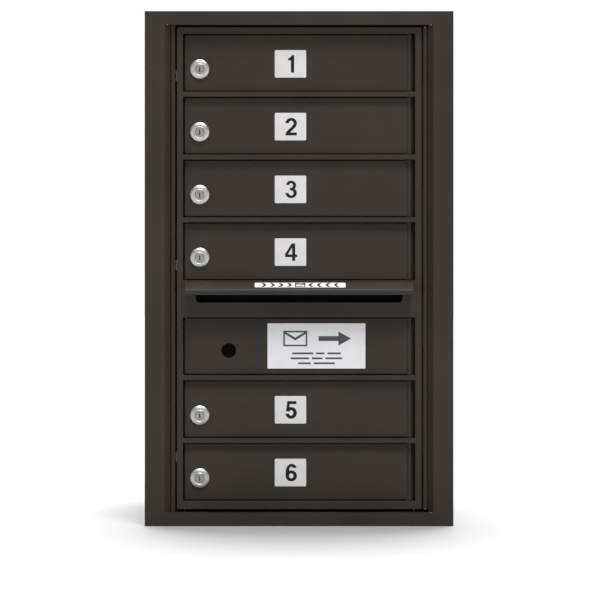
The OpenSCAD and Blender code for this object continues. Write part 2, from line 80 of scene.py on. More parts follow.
def coordinates(add, link, stretch=(1, 1, 1)):
    """Object coordinates in metres, stretched along each axis."""
    place = add("ShaderNodeTexCoord")
    mapping = add("ShaderNodeMapping")
    mapping.inputs["Scale"].default_value = stretch
    link(place.outputs["Object"], mapping.inputs["Vector"])
    return mapping.outputs["Vector"]


def noise(add, link, vector, scale, detail=2.0, roughness=0.5):
    """A noise factor; scale is in features per metre."""
    node = add("ShaderNodeTexNoise", scale=scale, detail=detail, roughness=roughness)
    link(vector, node.inputs["Vector"])
    return node.outputs["Fac"]


def ramp(add, link, factor, low, high, start=0.3, end=0.7):
    """Maps a factor to a colour between low and high."""
    node = add("ShaderNodeValToRGB")
    stops = node.color_ramp.elements
    stops[0].position, stops[0].color = start, (*low, 1)
    stops[1].position, stops[1].color = end, (*high, 1)
    link(factor, node.inputs["Fac"])
    return node.outputs["Color"]


def spread(add, link, factor, low, high, start=0.3, end=0.7):
    """Maps a factor to a number between low and high."""
    node = add("ShaderNodeMapRange")
    for key, value in (("From Min", start), ("From Max", end), ("To Min", low), ("To Max", high)):
        node.inputs[key].default_value = value
    link(factor, node.inputs["Value"])
    return node.outputs["Result"]


def bump(add, link, height, distance, normal=None):
    """A normal that follows a height, on top of another normal if one is given."""
    node = add("ShaderNodeBump", strength=1.0, distance=distance)
    link(height, node.inputs["Height"])
    if normal is not None:
        link(normal, node.inputs["Normal"])
    return node.outputs["Normal"]


def powder_coat():
    """Dark bronze polyester powder: satin, with a fine orange peel."""
    material, shader, add, link = new_material("bronze_powder_coat")
    vector = coordinates(add, link)
    clouds = noise(add, link, vector, scale=9.0, detail=4.0, roughness=0.6)
    speckle = noise(add, link, vector, scale=2600.0)
    peel = noise(add, link, vector, scale=750.0, detail=3.0)
    mixed = add("ShaderNodeMath", operation="MULTIPLY_ADD")
    mixed.inputs[1].default_value = 0.35
    link(speckle, mixed.inputs[0])
    link(clouds, mixed.inputs[2])
    dark, light = (0.0235, 0.0152, 0.0098), (0.0310, 0.0203, 0.0134)
    colour = ramp(add, link, mixed.outputs["Value"], dark, light, 0.5, 0.85)
    link(colour, shader.inputs["Base Color"])
    link(spread(add, link, clouds, 0.42, 0.53), shader.inputs["Roughness"])
    shader.inputs["Specular IOR Level"].default_value = 0.26
    coarse = bump(add, link, peel, 0.00006)
    link(bump(add, link, speckle, 0.000025, normal=coarse), shader.inputs["Normal"])
    return material


def mill_aluminium():
    """Rolled aluminium sheet: fine upright streaks, faint handling marks and a dull shine."""
    material, shader, add, link = new_material("mill_aluminium")
    upright = coordinates(add, link, (500, 500, 6))
    level = coordinates(add, link, (30, 30, 900))
    streaks = noise(add, link, upright, scale=1.0, detail=5.0, roughness=0.6)
    cross = noise(add, link, level, scale=1.0, detail=3.0)
    marks = noise(add, link, coordinates(add, link), scale=38.0, detail=6.0, roughness=0.7)
    mixed = add("ShaderNodeMath", operation="MULTIPLY_ADD")
    mixed.inputs[1].default_value = 0.18
    link(marks, mixed.inputs[0])
    link(streaks, mixed.inputs[2])
    dull, bright = (0.33, 0.335, 0.34), (0.41, 0.415, 0.42)
    colour = ramp(add, link, mixed.outputs["Value"], dull, bright, 0.37, 0.81)
    link(colour, shader.inputs["Base Color"])
    link(spread(add, link, marks, 0.425, 0.45), shader.inputs["Roughness"])
    grain = bump(add, link, cross, 0.00001)
    link(bump(add, link, streaks, 0.00002, normal=grain), shader.inputs["Normal"])
    shader.inputs["Metallic"].default_value = 1.0
    return material


def painted_shade_steel():
    """Very dark steel, painted shade: it stands in for the shade inside the slot and round the door hinge
    pins.
    """
    material, shader, add, link = new_material("painted_shade_steel")
    vector = coordinates(add, link)
    cloud = noise(add, link, vector, scale=40.0, detail=4.0)
    fine = noise(add, link, vector, scale=1100.0)
    colour = ramp(add, link, cloud, (0.020, 0.022, 0.022), (0.034, 0.037, 0.037))
    link(colour, shader.inputs["Base Color"])
    link(spread(add, link, cloud, 0.45, 0.6), shader.inputs["Roughness"])
    link(bump(add, link, fine, 0.00002), shader.inputs["Normal"])
    shader.inputs["Metallic"].default_value = 0.6
    return material


def zinc_plate():
    """Bright zinc plating with a faint yellow and blue passivation."""
    material, shader, add, link = new_material("zinc_plated_steel")
    vector = coordinates(add, link)
    cloud = noise(add, link, vector, scale=55.0, detail=4.0)
    fine = noise(add, link, vector, scale=1400.0)
    link(ramp(add, link, cloud, (0.48, 0.47, 0.42), (0.56, 0.58, 0.61)), shader.inputs["Base Color"])
    link(spread(add, link, cloud, 0.24, 0.42), shader.inputs["Roughness"])
    link(bump(add, link, fine, 0.00002), shader.inputs["Normal"])
    shader.inputs["Metallic"].default_value = 1.0
    return material


def satin_nickel(name, low, high):
    """Die-cast lock parts, turned and plated: fine rings about the local Z axis."""
    material, shader, add, link = new_material(name)
    place = add("ShaderNodeTexCoord")
    rings = add("ShaderNodeTexWave", wave_type="RINGS", rings_direction="Z", distortion=0.4)
    rings.inputs["Scale"].default_value = 950.0
    link(place.outputs["Object"], rings.inputs["Vector"])
    mottle = noise(add, link, place.outputs["Object"], scale=260.0, detail=4.0, roughness=0.6)
    link(ramp(add, link, mottle, low, high), shader.inputs["Base Color"])
    link(spread(add, link, mottle, 0.36, 0.46), shader.inputs["Roughness"])
    turned = bump(add, link, rings.outputs["Fac"], 0.00002)
    link(bump(add, link, mottle, 0.00002, normal=turned), shader.inputs["Normal"])
    shader.inputs["Metallic"].default_value = 1.0
    return material


def printed_label(name, low, high, metallic=0.0, grain=(1, 1, 1)):
    """A label's face: paper or foil under a clear film."""
    material, shader, add, link = new_material(name)
    fibre = noise(add, link, coordinates(add, link, grain), scale=60.0, detail=4.0)
    fine = noise(add, link, coordinates(add, link), scale=1800.0)
    link(ramp(add, link, fibre, low, high), shader.inputs["Base Color"])
    link(spread(add, link, fibre, 0.40, 0.46), shader.inputs["Roughness"])
    link(bump(add, link, fine, 0.000004), shader.inputs["Normal"])
    shader.inputs["Metallic"].default_value = metallic
    shader.inputs["Coat Weight"].default_value = 0.12
    shader.inputs["Coat Roughness"].default_value = 0.3
    return material


def ink(name, low, high):
    """Screen-printed ink, slightly uneven."""
    material, shader, add, link = new_material(name)
    patch = noise(add, link, coordinates(add, link), scale=420.0, detail=3.0)
    link(ramp(add, link, patch, low, high), shader.inputs["Base Color"])
    link(spread(add, link, patch, 0.45, 0.6), shader.inputs["Roughness"])
    shader.inputs["Specular IOR Level"].default_value = 0.15
    return material


def black_plastic():
    """Moulded plastic with a fine spark-eroded grain."""
    material, shader, add, link = new_material("black_plastic")
    vector = coordinates(add, link)
    grain = noise(add, link, vector, scale=1500.0, detail=3.0)
    cloud = noise(add, link, vector, scale=80.0)
    colour = ramp(add, link, cloud, (0.012, 0.012, 0.013), (0.022, 0.022, 0.024))
    link(colour, shader.inputs["Base Color"])
    link(spread(add, link, grain, 0.42, 0.58), shader.inputs["Roughness"])
    link(bump(add, link, grain, 0.00004), shader.inputs["Normal"])
    return material


def studio_floor():
    """Matt paper in a very even light grey."""
    material, shader, add, link = new_material("studio_floor")
    cloud = noise(add, link, coordinates(add, link), scale=1.5)
    colour = ramp(add, link, cloud, (0.275, 0.275, 0.275), (0.285, 0.285, 0.285))
    link(colour, shader.inputs["Base Color"])
    shader.inputs["Roughness"].default_value = 0.9
    shader.inputs["Specular IOR Level"].default_value = 0.0
    return material


BRONZE = powder_coat()
ALUMINIUM = mill_aluminium()
ZINC = zinc_plate()
PAINTED_SHADE_STEEL = painted_shade_steel()
NICKEL = satin_nickel("satin_nickel", (0.47, 0.458, 0.437), (0.57, 0.557, 0.535))
# A darker copy of the satin nickel for the lock plugs: painted shade on their flat faces.
DARKENED_PLUG_NICKEL = satin_nickel("plug_nickel_painted_shade", (0.29, 0.283, 0.272), (0.38, 0.37, 0.358))
PLATE = printed_label("plate_face", (0.545, 0.54, 0.535), (0.59, 0.585, 0.58))
WHITE_LABEL = printed_label("white_label", (0.70, 0.70, 0.70), (0.77, 0.77, 0.77))
SILVER_LABEL = printed_label("silver_label", (0.64, 0.64, 0.67), (0.69, 0.69, 0.72), 0.1, (1, 1, 14))
BLACK_INK = ink("black_ink", (0.006, 0.006, 0.007), (0.013, 0.013, 0.015))
GREY_INK = ink("grey_ink", (0.055, 0.055, 0.085), (0.085, 0.085, 0.12))
PLASTIC = black_plastic()
SLOT_MATERIALS = {
    "bronze_powder_coat": BRONZE,
    "mill_aluminium": ALUMINIUM,
    "zinc_plated_steel": ZINC,
    "satin_nickel": NICKEL,
    "white_label": PLATE,
    "silver_label": SILVER_LABEL,
    "black_plastic": PLASTIC,
}


# ------------------------------------------------------------- piece helpers

SMOOTH_ANGLE = 35
DRILL_DEPTH = 8 * MM
MERGE_REACH = 0.001 * MM


def in_mm(points):
    """Points given in millimetres, in metres."""
    return [(x * MM, y * MM) for x, y in points]


def circle(radius, steps):
    """Points round a circle about the origin."""
    angles = [2 * math.pi * k / steps for k in range(steps)]
    return [(radius * math.cos(a), radius * math.sin(a)) for a in angles]


def arc(centre, radii, start, end, steps=20):
    """Points along an ellipse from one angle to another, in degrees."""
    angles = [math.radians(start + (end - start) * k / steps) for k in range(steps + 1)]
    return [(centre[0] + radii[0] * math.cos(a), centre[1] + radii[1] * math.sin(a)) for a in angles]


def add_bevel(piece, width):
    """Softens a piece's sharp edges."""
    bevel = piece.modifiers.new("soft_edges", "BEVEL")
    bevel.width = width
    bevel.segments = 2
    bevel.limit_method = "ANGLE"
    bevel.angle_limit = math.radians(SMOOTH_ANGLE)
    bevel.use_clamp_overlap = False
    bevel.harden_normals = True


def finish_piece(piece, body, material, nodes=()):
    """Gives a new piece its material and body, and hides the CAD nodes it stands for."""
    piece.data.materials.clear()
    piece.data.materials.append(material)
    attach(piece, body)
    if nodes:
        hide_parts(*nodes)


def shade(mesh):
    """Smooth shading with sharp edges above an angle."""
    mesh.shade_smooth()
    mesh.set_sharp_from_angle(angle=math.radians(SMOOTH_ANGLE))


def mesh_piece(name, work, place=Matrix.Identity(4), closed=True):
    """Turns a bmesh into an object, smooth below an angle. An open shell keeps its winding."""
    if closed:
        bmesh.ops.recalc_face_normals(work, faces=work.faces)
    mesh = bpy.data.meshes.new(name)
    work.to_mesh(mesh)
    work.free()
    piece = bpy.data.objects.new(name, mesh)
    bpy.context.scene.collection.objects.link(piece)
    piece.matrix_world = place
    shade(mesh)
    return piece


def replace_mesh(piece, work):
    """Puts the closed solids in work into a finished piece, in place of its mesh."""
    bmesh.ops.recalc_face_normals(work, faces=work.faces)
    work.to_mesh(piece.data)
    work.free()
    shade(piece.data)


def add_mesh(work, part):
    """Moves everything in one bmesh into another."""
    mesh = bpy.data.meshes.new("part")
    part.to_mesh(mesh)
    part.free()
    work.from_mesh(mesh)
    bpy.data.meshes.remove(mesh)


def apply_modifiers(piece):
    """Bakes a new piece's own modifiers into its mesh."""
    graph = bpy.context.evaluated_depsgraph_get()
    mesh = bpy.data.meshes.new_from_object(piece.evaluated_get(graph))
    piece.modifiers.clear()
    piece.data = mesh


def cut_away(piece, work, place):
    """Takes the solid in work out of a new piece and bakes the result."""
    cutter = mesh_piece("cutter", work, place)
    cut = piece.modifiers.new("cut", "BOOLEAN")
    cut.object = cutter
    cut.solver = "MANIFOLD"
    bpy.context.view_layer.update()
    apply_modifiers(piece)
    bpy.data.objects.remove(cutter)
    shade(piece.data)


def drill(piece, centre, radius):
    """Cuts a round hole along Y through a new piece."""
    work = bmesh.new()
    bmesh.ops.create_cone(
        work, cap_ends=True, segments=96, radius1=radius, radius2=radius, depth=DRILL_DEPTH
    )
    cut_away(piece, work, Matrix.Translation(centre) @ OUTWARD)


def lathe(work, profile, steps=96):
    """Adds a closed turned solid to work. The profile is (radius, height) pairs."""
    loops = []
    for radius, height in profile:
        if radius == 0:
            loops.append([work.verts.new((0, 0, height))] * steps)
            continue
        loops.append([work.verts.new((x, y, height)) for x, y in circle(radius, steps)])
    closed = profile[0][0] != 0
    pairs = list(zip(loops, loops[1:])) + ([(loops[-1], loops[0])] if closed else [])
    for low, high in pairs:
        for k in range(steps):
            nxt = (k + 1) % steps
            corners = list(dict.fromkeys((low[k], low[nxt], high[nxt], high[k])))
            if len(corners) > 2:
                work.faces.new(corners)


def round_corners(points, radius, steps=5):
    """An open line with its inner corners rounded to a radius."""
    out = [Vector(points[0])]
    for before, here, after in zip(points, points[1:], points[2:]):
        here = Vector(here)
        a = (Vector(before) - here).normalized()
        b = (Vector(after) - here).normalized()
        half = a.angle(b) / 2
        reach = radius / math.tan(half)
        centre = here + (a + b).normalized() * radius / math.sin(half)
        start = here + a * reach - centre
        end = here + b * reach - centre
        turn = start.angle(end)
        for k in range(steps + 1):
            t = k / steps
            spoke = (start * math.sin((1 - t) * turn) + end * math.sin(t * turn)) / math.sin(turn)
            out.append(centre + spoke)
    out.append(Vector(points[-1]))
    return out


def sheet_outline(line, thickness):
    """The closed outline of a sheet along a 2D line, with its thickness on the line's left."""
    offset = []
    for k, here in enumerate(line):
        before = line[max(k - 1, 0)]
        after = line[min(k + 1, len(line) - 1)]
        along = (after - before).normalized()
        offset.append(here + Vector((-along.y, along.x)) * thickness)
    return line + offset[::-1]


def extruded(work, outline, place, length):
    """Adds a prism of a 2D outline to work, placed by a matrix, from local Z 0 to length."""
    rings = [[work.verts.new(place @ Vector((u, v, w))) for u, v in outline] for w in (0, length)]
    count = len(outline)
    for k in range(count):
        nxt = (k + 1) % count
        work.faces.new((rings[0][k], rings[0][nxt], rings[1][nxt], rings[1][k]))
    work.faces.new(rings[0][::-1])
    work.faces.new(rings[1])


def axes(origin, u, v, w):
    """A matrix whose local X, Y and Z point along u, v and w from an origin."""
    turn = Matrix((u, v, w)).transposed().to_4x4()
    return Matrix.Translation(origin) @ turn


def facing_front(x, y, z):
    """A matrix whose local X, Y and Z point right, up and out of the front."""
    return axes((x, y, z), (1, 0, 0), (0, 0, 1), (0, -1, 0))


def flat_shape(name, splines, thickness, place, edge=0.0):
    """A thin flat piece from closed 2D outlines; an outline inside another is a hole."""
    curve = bpy.data.curves.new(name, "CURVE")
    curve.dimensions = "2D"
    curve.fill_mode = "BOTH"
    curve.extrude = thickness / 2 - edge
    curve.bevel_depth = edge
    curve.bevel_resolution = 2
    curve.offset = -edge
    for outline in splines:
        spline = curve.splines.new("POLY")
        spline.points.add(len(outline) - 1)
        for point, (x, y) in zip(spline.points, outline):
            point.co = (x, y, 0, 1)
        spline.use_cyclic_u = True
    holder = bpy.data.objects.new(name, curve)
    bpy.context.scene.collection.objects.link(holder)
    graph = bpy.context.evaluated_depsgraph_get()
    mesh = bpy.data.meshes.new_from_object(holder.evaluated_get(graph))
    bpy.data.objects.remove(holder)
    work = bmesh.new()
    work.from_mesh(mesh)
    bpy.data.meshes.remove(mesh)
    bmesh.ops.remove_doubles(work, verts=work.verts, dist=MERGE_REACH)
    work.transform(Matrix.Translation((0, 0, thickness / 2)))
    return mesh_piece(name, work, place)


def rounded_box(width, height, radius, centre=(0, 0), steps=6):
    """A closed rounded rectangle about a centre."""
    points = []
    corners = ((1, 1), (-1, 1), (-1, -1), (1, -1))
    for quarter, (sx, sy) in enumerate(corners):
        cx = centre[0] + sx * (width / 2 - radius)
        cy = centre[1] + sy * (height / 2 - radius)
        for k in range(steps + 1):
            a = math.radians(90 * quarter + 90 * k / steps)
            points.append((cx + radius * math.cos(a), cy + radius * math.sin(a)))
    return points


def middle(node):
    """The middle of a CAD node's box."""
    low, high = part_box(node)
    return (low + high) / 2


# ------------------------------------------------------------- CAD nodes kept

SOFT_EDGES = {"trim": 0.5 * MM, "cabinet": 0.3 * MM, "latch": 0.3 * MM, "master_hinge": 0.25 * MM}
SOFT_EDGE = 0.2 * MM
# The slot's liner and baffle and the door hinge pins get very dark steel: painted shade in the slot and the
# hinge gaps.
SHADED_NODES = ("slot_liner", "slot_baffle", "door_hinge_pins")


def dress_cad_nodes():
    """Every CAD node gets its slot's material, or very dark steel as painted shade, and slightly softened
    edges.
    """
    slots = {row["node"]: row["material_slot"] for row in frame["record"]["subparts"]}
    for name, node in frame["nodes"].items():
        node.data.materials.clear()
        node.data.materials.append(PAINTED_SHADE_STEEL if name in SHADED_NODES else SLOT_MATERIALS[slots[name]])
        width = next((w for start, w in SOFT_EDGES.items() if name.startswith(start)), SOFT_EDGE)
        add_bevel(node, width)


# ------------------------------------------------------------- doors

PAN_T = 1.6 * MM
FOLD_R = 1.75 * MM
BARREL_R = 4.5 * MM
CURL_T = 1.5 * MM
PLATE_CORNER = 1.5 * MM
LABEL_EDGE = 0.12 * MM
NUMERAL_H = 24.8 * MM
NUMERAL_SHIFT = 1.0 * MM
PRINT_T = 0.08 * MM
PRINT_GAP = 0.01 * MM

# A lock's sizes are in millimetres, and its heights are from the door's face
BORE_R = 6.3
LOCK_BACK = -13.5
THREAD_R = 9.5
THREAD_ROOT_R = 9.05
THREAD_PITCH = 1.0
THREAD_COUNT = 12
NUT_T = 4
NUT_CORNER_R = 13.86
NUT_CLEARANCE = 0.05
NUT_EDGE = 0.35
PLUG_R = 6.25
PLUG_FACE = 3.9
KEYWAY_REACH = 6
TANG_W = 7
TANG_LEN = 2.2
BEZEL_PROFILE = (
    (BORE_R, -0.2), (13.6, -0.2), (13.8, 0.05), (13.8, 1.7), (13.72, 2.1), (13.5, 2.45), (13.1, 2.8),
    (12.5, 3.15), (11.7, 3.55), (10.9, 3.9), (10.2, 4.15), (9.6, 4.3), (9.2, 4.35), (8.85, 4.25),
    (8.6, 4.0), (8.4, 3.7), (8.1, 3.6), (7.5, 3.6), (7.3, 3.8), (7.0, 4.0), (6.7, 3.95), (6.5, 3.6),
    (BORE_R, 3.1),
)
KEYWAY = (
    (-0.7, 2.6), (-0.7, -4.4), (0.7, -4.4), (0.7, -3.0), (1.3, -3.0), (1.3, -1.9), (0.7, -1.9), (0.7, 2.6),
)


def hinge_curl(pan_right, face_y):
    """Outlines of the curl round a hinge pin and of the web that joins it to the pan."""
    axis = (pan_right + BARREL_R, face_y + BARREL_R)
    curl = [Vector(point) for point in arc(axis, (BARREL_R, BARREL_R), -152, 153, 40)]
    web = in_mm([(-0.4, 0.7), (0.3, 0.7), (1.3, 1.0), (1.3, 2.4), (-0.4, 2.2)])
    return sheet_outline(curl, CURL_T), [(pan_right + x, face_y + y) for x, y in web]


def door_pan(name, node, hole=None):
    """A pressed door: a shallow pan with rounded folds and a rolled hinge barrel.

    The web lies behind the face, which leaves a fine groove beside the barrel.
    hole is the (centre, radius) of a round hole through the face.
    """
    low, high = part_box(node)
    pan_right = high.x - 2 * BARREL_R
    work = bmesh.new()
    corners = [(low.x, low.z), (pan_right, low.z), (pan_right, high.z), (low.x, high.z)]
    front = [work.verts.new((x, low.y, z)) for x, z in corners]
    back = [work.verts.new((x, high.y, z)) for x, z in corners]
    work.faces.new(front)
    for k in (0, 2, 3):
        nxt = (k + 1) % 4
        work.faces.new((front[nxt], front[k], back[k], back[nxt]))
    folds = [edge for edge in work.edges if len(edge.link_faces) == 2]
    bmesh.ops.bevel(
        work, geom=folds, offset=FOLD_R, segments=5, profile=0.5, affect="EDGES", clamp_overlap=True
    )
    pan = mesh_piece(name, work, closed=False)
    sheet = pan.modifiers.new("sheet", "SOLIDIFY")
    sheet.thickness = PAN_T
    sheet.offset = -1
    sheet.use_even_offset = True
    apply_modifiers(pan)
    if hole:
        drill(pan, *hole)

    work = bmesh.new()
    work.from_mesh(pan.data)
    for outline in hinge_curl(pan_right, low.y):
        extruded(work, outline, Matrix.Translation((0, 0, low.z)), high.z - low.z)
    replace_mesh(pan, work)
    return pan


def lock_place(n):
    """A matrix from a lock's centre on the door's face, with local +Z out of the door."""
    low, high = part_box(f"lock_plug_{n}")
    centre = ((low.x + high.x) / 2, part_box(f"door_{n}")[0].y, (low.z + high.z) / 2)
    return Matrix.Translation(centre) @ OUTWARD


def thread_profile():
    """The closed outline of the threaded tube behind the bezel."""
    points = [(BORE_R, LOCK_BACK), (9.0, LOCK_BACK)]
    for k in range(THREAD_COUNT):
        root = LOCK_BACK + 0.3 + k * THREAD_PITCH
        points += [(THREAD_R, root), (THREAD_R, root + THREAD_PITCH / 4)]
        points += [(THREAD_ROOT_R, root + THREAD_PITCH / 2), (THREAD_ROOT_R, root + THREAD_PITCH * 3 / 4)]
    return points + [(THREAD_ROOT_R, -0.3), (BORE_R, -0.3)]


def lock_housing(n):
    """The turned bezel, the threaded barrel and the nut behind the door."""
    work = bmesh.new()
    lathe(work, in_mm(BEZEL_PROFILE))
    lathe(work, in_mm(thread_profile()), 64)
    housing = mesh_piece(f"lock_housing_{n}", work, lock_place(n))
    finish_piece(housing, f"door_{n}", NICKEL, [f"lock_body_{n}"])

    outlines = [in_mm(circle(NUT_CORNER_R, 6)), in_mm(circle(THREAD_R + NUT_CLEARANCE, 48))]
    place = lock_place(n) @ Matrix.Translation((0, 0, -PAN_T - NUT_T * MM))
    nut = flat_shape(f"lock_nut_{n}", outlines, NUT_T * MM, place, NUT_EDGE * MM)
    finish_piece(nut, f"door_{n}", ZINC)


def lock_plug(n):
    """The plug with its keyway, and the square tang behind it."""
    work = bmesh.new()
    rim = [(PLUG_R, PLUG_FACE - 0.3), (PLUG_R - 0.25, PLUG_FACE - 0.05), (PLUG_R - 0.7, PLUG_FACE)]
    lathe(work, in_mm([(0, LOCK_BACK), (PLUG_R, LOCK_BACK), *rim, (0, PLUG_FACE)]))
    plug = mesh_piece(f"lock_cylinder_{n}", work, lock_place(n))
    work = bmesh.new()
    extruded(work, in_mm(KEYWAY), Matrix.Translation((0, 0, -KEYWAY_REACH * MM)), 2 * KEYWAY_REACH * MM)
    cut_away(plug, work, plug.matrix_world)

    work = bmesh.new()
    work.from_mesh(plug.data)
    tang = Matrix.Diagonal((TANG_W * MM, TANG_W * MM, TANG_LEN * MM, 1))
    middle_z = (LOCK_BACK + 0.05) * MM - TANG_LEN * MM / 2
    bmesh.ops.create_cube(work, size=1, matrix=Matrix.Translation((0, 0, middle_z)) @ tang)
    replace_mesh(plug, work)
    # The plug gets the darker copy of the nickel: painted shade.
    finish_piece(plug, f"lock_{n}", DARKENED_PLUG_NICKEL, [f"lock_plug_{n}"])


def sweep(start, pull, end, steps=10):
    """Points along a quadratic curve."""
    points = []
    for k in range(steps + 1):
        t = k / steps
        weights = ((1 - t) ** 2, 2 * t * (1 - t), t ** 2)
        points.append(tuple(sum(w * p[axis] for w, p in zip(weights, (start, pull, end))) for axis in (0, 1)))
    return points


def numeral_outlines(n):
    """A plain bold numeral, one unit high, as closed outlines."""
    if n == 1:
        flag = sweep((0, 0.825), (0.15, 0.84), (0.20, 1.0))
        return [[(0, 0.70)] + flag + [(0.34, 1.0), (0.34, 0), (0.155, 0), (0.155, 0.70)]]
    if n == 2:
        bowl = (0.325, 0.69)
        outside = arc(bowl, (0.325, 0.31), 180, -35) + sweep((0.54, 0.44), (0.36, 0.28), (0.28, 0.165))
        foot = [(0.65, 0.165), (0.65, 0), (0, 0)] + sweep((0, 0.07), (0.03, 0.24), (0.29, 0.43))
        return [outside + foot + arc(bowl, (0.14, 0.15), -35, 180)]
    if n == 3:
        top, low = (0.32, 0.725), (0.325, 0.295)
        outside = arc(top, (0.29, 0.275), 172, -46) + arc(low, (0.325, 0.295), 46, -180)
        inside = arc(low, (0.14, 0.145), -180, 90) + [(0.25, 0.44), (0.25, 0.59)]
        return [outside + inside + arc(top, (0.115, 0.13), -90, 172)]
    if n == 4:
        outside = [(0.575, 1), (0.575, 0.365), (0.69, 0.365), (0.69, 0.215), (0.575, 0.215), (0.575, 0),
                   (0.40, 0), (0.40, 0.215), (0, 0.215), (0, 0.39), (0.375, 1)]
        return [outside, [(0.40, 0.365), (0.155, 0.365), (0.40, 0.76)]]
    if n == 5:
        bowl = (0.32, 0.325)
        outside = [(0.62, 1), (0.62, 0.83), (0.24, 0.83)] + arc(bowl, (0.33, 0.335), 106, -172)
        return [outside + arc(bowl, (0.125, 0.155), -165, 150) + [(0.03, 0.42), (0.105, 1)]]
    bowl = (0.335, 0.315)
    back = [(0.01, 0.315)] + arc((0.345, 0.5), (0.335, 0.5), 180, 90)
    hook = arc((0.345, 0.75), (0.295, 0.25), 90, 10) + arc((0.345, 0.735), (0.10, 0.102), 10, 90)
    front = arc((0.345, 0.597), (0.137, 0.240), 90, 180) + arc(bowl, (0.325, 0.315), 113, -179)
    return [back + hook + front, arc(bowl, (0.125, 0.145), 0, 351, 39)]


def label_face(name, node, corner, body, material):
    """The rounded face of a label or plate, which stands for its CAD node."""
    low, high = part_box(node)
    size = high - low
    centre = middle(node)
    place = facing_front(centre.x, high.y, centre.z)
    outline = rounded_box(size.x, size.z, corner)
    face = flat_shape(name, [outline], size.y, place, LABEL_EDGE)
    finish_piece(face, body, material, [node])


def label_print(name, node, outlines, body, ink_material):
    """Printed shapes that lie on the front of a label, placed from its centre."""
    centre = middle(node)
    place = facing_front(centre.x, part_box(node)[0].y + PRINT_GAP, centre.z)
    finish_piece(flat_shape(name, outlines, PRINT_T, place), body, ink_material)


def number_plate(n):
    """A rounded plate with a bold numeral printed on it."""
    node = f"number_plate_{n}"
    label_face(f"number_face_{n}", node, PLATE_CORNER, f"door_{n}", PLATE)
    outlines = numeral_outlines(n)
    width = max(x for x, _ in outlines[0])
    shift = NUMERAL_SHIFT - width / 2 * NUMERAL_H
    outlines = [[(x * NUMERAL_H + shift, (y - 0.5) * NUMERAL_H) for x, y in line] for line in outlines]
    label_print(f"numeral_{n}", node, outlines, f"door_{n}", BLACK_INK)


def build_tenants():
    """The six tenant doors with their locks and number plates."""
    for n in TENANTS:
        body = f"door_{n}"
        finish_piece(door_pan(f"door_pan_{n}", body), body, BRONZE, [body])
        lock_housing(n)
        lock_plug(n)
        number_plate(n)


# ------------------------------------------------------------- printed signs

SIGN_CORNER = 1.0 * MM
ENVELOPE_W = 34 * MM
ENVELOPE_H = 22 * MM
ENVELOPE_STROKE = 2.3 * MM
ENVELOPE_X = -30 * MM
ARROW_L = 46 * MM
ARROW_H = 20 * MM
ARROW_X = 26 * MM
PICTOGRAM_RISE = 10.5 * MM
BAR_ROWS = (  # (lengths of the bars, height of the row), in millimetres from the label's centre
    ((30, 12, 19), -10.5),
    ((26, 15, 24), -17.5),
    ((18, 30), -24.5),
)
BAR_T = 2.6 * MM
BAR_GAP = 4 * MM
KEY_HOLE_R = 10.4 * MM
STUD_R = 2.5 * MM
DIMPLE_PROFILE = (
    (0, -0.3), (3.9, -0.3), (3.9, 0), (3.4, 0.22), (2.7, 0.32), (2.2, 0.22), (1.7, 0.04), (0.9, 0.16),
    (0, 0.22),
)
HOOD_SHEET = 1.8 * MM
HOOD_LIP = 7 * MM
HOOD_ROOT = 10 * MM
HOOD_FOLD_R = 2.2 * MM
HOOD_END_H = 16 * MM
HOOD_END_INSET = 0.6 * MM
HOOD_EDGE = 0.25 * MM
STRIP_T = 0.4 * MM
STRIP_PRINT_T = 0.06 * MM
STRIP_MARGIN = 0.9 * MM
STRIP_CORNER = 0.6 * MM
STRIP_EDGE = 0.1 * MM
STRIP_ENVELOPE = (15 * MM, 10 * MM, 1.8 * MM)  # width, height, stroke
CHEVRON = (8 * MM, 10 * MM, 4 * MM)  # width, height, stroke
CHEVRON_STEPS = (15, 27, 39, 51)  # millimetres from the middle


def envelope(width, height, stroke, centre):
    """Outlines of a plain envelope: a frame with an open flap drawn in it."""
    cx, cy = centre
    w, h, s = width / 2, height / 2, stroke
    outer = [(cx - w, cy - h), (cx + w, cy - h), (cx + w, cy + h), (cx - w, cy + h)]
    upper = [(cx - w + 1.9 * s, cy + h - s), (cx + w - 1.9 * s, cy + h - s), (cx, cy + 0.12 * h)]
    lower = [
        (cx - w + s, cy - h + s),
        (cx + w - s, cy - h + s),
        (cx + w - s, cy + h - 1.9 * s),
        (cx, cy - 0.12 * h - 0.6 * s),
        (cx - w + s, cy + h - 1.9 * s),
    ]
    return [outer, upper, lower]


def arrow(length, height, centre):
    """Outline of a plain arrow that points right."""
    cx, cy = centre
    left, right = cx - length / 2, cx + length / 2
    neck = right - 0.9 * height
    bar = height * 0.17
    half = height / 2
    below = [(left, cy - bar), (neck, cy - bar), (neck, cy - half)]
    above = [(neck, cy + half), (neck, cy + bar), (left, cy + bar)]
    return [below + [(right, cy)] + above]


def chevron(side, width, height, stroke, centre):
    """Outline of a plain chevron that points to the middle of the sign."""
    cx, cy = centre
    tip, tail = cx - side * width / 2, cx + side * (width / 2 - stroke)
    inner_tip, inner_tail = tip + side * stroke, tail + side * stroke
    half = height / 2
    below = [(tail, cy - half), (inner_tail, cy - half)]
    above = [(inner_tail, cy + half), (tail, cy + half)]
    return [below + [(inner_tip, cy)] + above + [(tip, cy)]]


def bars(lengths, thickness, centre, gap):
    """Plain printed bars side by side, centred on a point."""
    total = sum(lengths) + gap * (len(lengths) - 1)
    x = centre[0] - total / 2
    shapes = []
    for length in lengths:
        shapes.append(rounded_box(length, thickness, thickness * 0.3, (x + length / 2, centre[1]), 3))
        x += length + gap
    return shapes


